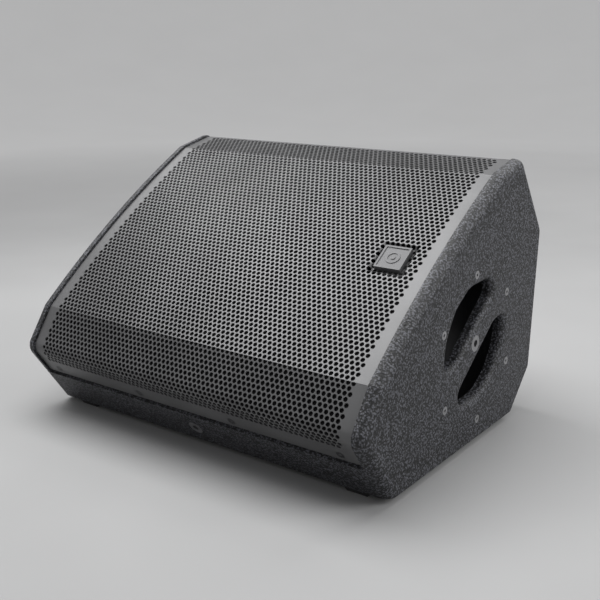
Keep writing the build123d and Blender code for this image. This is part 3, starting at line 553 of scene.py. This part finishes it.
_, FOAM_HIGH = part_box("grille_foam")
FOAM_START = RECESS + SHEET + 0.5 * MM
FOAM_THICK = 7.6 * MM
FOAM_TOP = 19 * MM
FOAM_END_UP = 84 * MM
FOAM_POCKET_GAP = 8.6 * MM
FOAM_DENT = 0.25 * MM


def foam_piece():
    """Foam sheet with a slightly uneven face, cut out round the badge's pocket."""
    half = FOAM_HIGH.x
    end = STARTS[4] + KICK_LENGTH - BEND_SETBACK - FOAM_END_UP
    hole = (POCKET + FOAM_POCKET_GAP) / 2
    xs = np.unique(np.concatenate([np.linspace(-half, half, 97), [BADGE_X - hole, BADGE_X + hole]]))
    hole_ends = [BADGE_SKIN - hole, BADGE_SKIN + hole]
    ss = np.unique(np.concatenate([np.linspace(FOAM_TOP, end, 90), STARTS[1:4], hole_ends]))
    grid_x, grid_s = np.meshgrid(xs, ss)
    count = grid_x.size
    rng = np.random.default_rng(7)
    dents = rng.random(count) * FOAM_DENT
    flat_x, flat_s = grid_x.ravel(), grid_s.ravel()
    layers = []
    for depth in (FOAM_START + dents, np.full(count, FOAM_START + FOAM_THICK)):
        y, z = skin_point(flat_s, depth)
        layers.append(np.column_stack([flat_x, y, z]))
    points = np.vstack(layers)
    wide = len(xs)
    kept = set()
    for j in range(len(ss) - 1):
        for i in range(wide - 1):
            cx = (xs[i] + xs[i + 1]) / 2
            cs = (ss[j] + ss[j + 1]) / 2
            if abs(cx - BADGE_X) > hole or abs(cs - BADGE_SKIN) > hole:
                kept.add((i, j))
    faces = []
    for i, j in sorted(kept):
        a, b, c, d = j * wide + i, j * wide + i + 1, (j + 1) * wide + i + 1, (j + 1) * wide + i
        faces.append((a, b, c, d))
        faces.append((d + count, c + count, b + count, a + count))
        for (di, dj), (p, q) in (((0, -1), (a, b)), ((1, 0), (b, c)), ((0, 1), (c, d)), ((-1, 0), (d, a))):
            if (i + di, j + dj) not in kept:
                faces.append((q, p, p + count, q + count))
    obj = mesh_object("grille_foam_pad", points, faces, "foam", smooth=40)
    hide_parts("grille_foam")
    return obj


foam_piece()


# Floor, lights and camera

def floor():
    """A round floor that turns up into a wall, so no view shows an edge."""
    flat, bend, wall, around, up = 3.0, 3.0, 2.0, 96, 16
    profile = [(0.02, 0), (flat, 0)]
    turns = [k * pi / 2 / up for k in range(1, up + 1)]
    profile += [(flat + bend * sin(turn), bend * (1 - cos(turn))) for turn in turns]
    profile.append((flat + bend, bend + wall))
    ring = [2 * pi * i / around for i in range(around)]
    points = [(r * cos(turn), r * sin(turn), z) for r, z in profile for turn in ring]
    faces = [tuple(range(around))]
    for j in range(len(profile) - 1):
        for i in range(around):
            k = (i + 1) % around
            faces.append((j * around + i, (j + 1) * around + i, (j + 1) * around + k, j * around + k))
    mesh = bpy.data.meshes.new("floor")
    mesh.from_pydata(points, [], faces)
    for face in mesh.polygons:
        face.use_smooth = True
    obj = bpy.data.objects.new("floor", mesh)
    mat, tree, shader = new_material("pale_floor")
    tone = noise(tree, 3, 2)
    grey = ramp(tree, tone, 0.3, 0.7, (0.30, 0.30, 0.30), (0.32, 0.32, 0.32))
    tree.links.new(grey, shader.inputs["Base Color"])
    shader.inputs["Roughness"].default_value = 0.8
    coords = tree.nodes.new("ShaderNodeTexCoord")
    far = tree.nodes.new("ShaderNodeVectorMath")
    far.operation = "LENGTH"
    tree.links.new(coords.outputs["Object"], far.inputs[0])
    glow = map_range(tree, far.outputs["Value"], 1.2, 3.2, 0.0, 0.30)
    shader.inputs["Emission Color"].default_value = (1, 1, 1, 1)
    tree.links.new(glow, shader.inputs["Emission Strength"])
    mesh.materials.append(mat)
    bpy.context.scene.collection.objects.link(obj)


def area_light(name, place, aim, size, power, tall=None):
    light = bpy.data.lights.new(name, "AREA")
    light.shape = "RECTANGLE"
    light.size = size
    light.size_y = tall or size
    light.energy = power
    obj = bpy.data.objects.new(name, light)
    obj.location = place
    obj.rotation_euler = (Vector(aim) - Vector(place)).to_track_quat("-Z", "Y").to_euler()
    bpy.context.scene.collection.objects.link(obj)


def studio():
    world = bpy.data.worlds.new("studio")
    bpy.context.scene.world = world
    world.use_nodes = True
    world.node_tree.nodes["Background"].inputs["Color"].default_value = (0.95, 0.96, 1.0, 1)
    world.node_tree.nodes["Background"].inputs["Strength"].default_value = 0.36
    middle = (0, 0, 0.15)
    area_light("softbox", (-0.40, -0.05, 1.45), middle, 1.3, 34, 1.6)
    area_light("side", (1.8, 0.5, 1.3), middle, 1.2, 24)
    area_light("rear", (0.2, 1.9, 1.6), middle, 1.4, 18)


def camera():
    azimuth, pitch, roll = radians(36.92), radians(16.09), radians(-0.56)
    back = Vector((sin(azimuth) * cos(pitch), -cos(azimuth) * cos(pitch), sin(pitch)))
    right = Vector((cos(azimuth), sin(azimuth), 0))
    up = back.cross(right)
    side = cos(roll) * right + sin(roll) * up
    top = cos(roll) * up - sin(roll) * right
    data = bpy.data.cameras.new("camera")
    data.lens = 55.95
    data.sensor_width = 36
    obj = bpy.data.objects.new("camera", data)
    place = Vector((739.97 * MM, row_y(-783.71 * MM), row_z(490.13 * MM)))
    turn = Matrix((side, top, back)).transposed().to_4x4()
    obj.matrix_world = Matrix.Translation(place) @ turn
    bpy.context.scene.collection.objects.link(obj)
    bpy.context.scene.camera = obj


floor()
studio()
camera()
bpy.context.scene.view_settings.view_transform = "Standard"
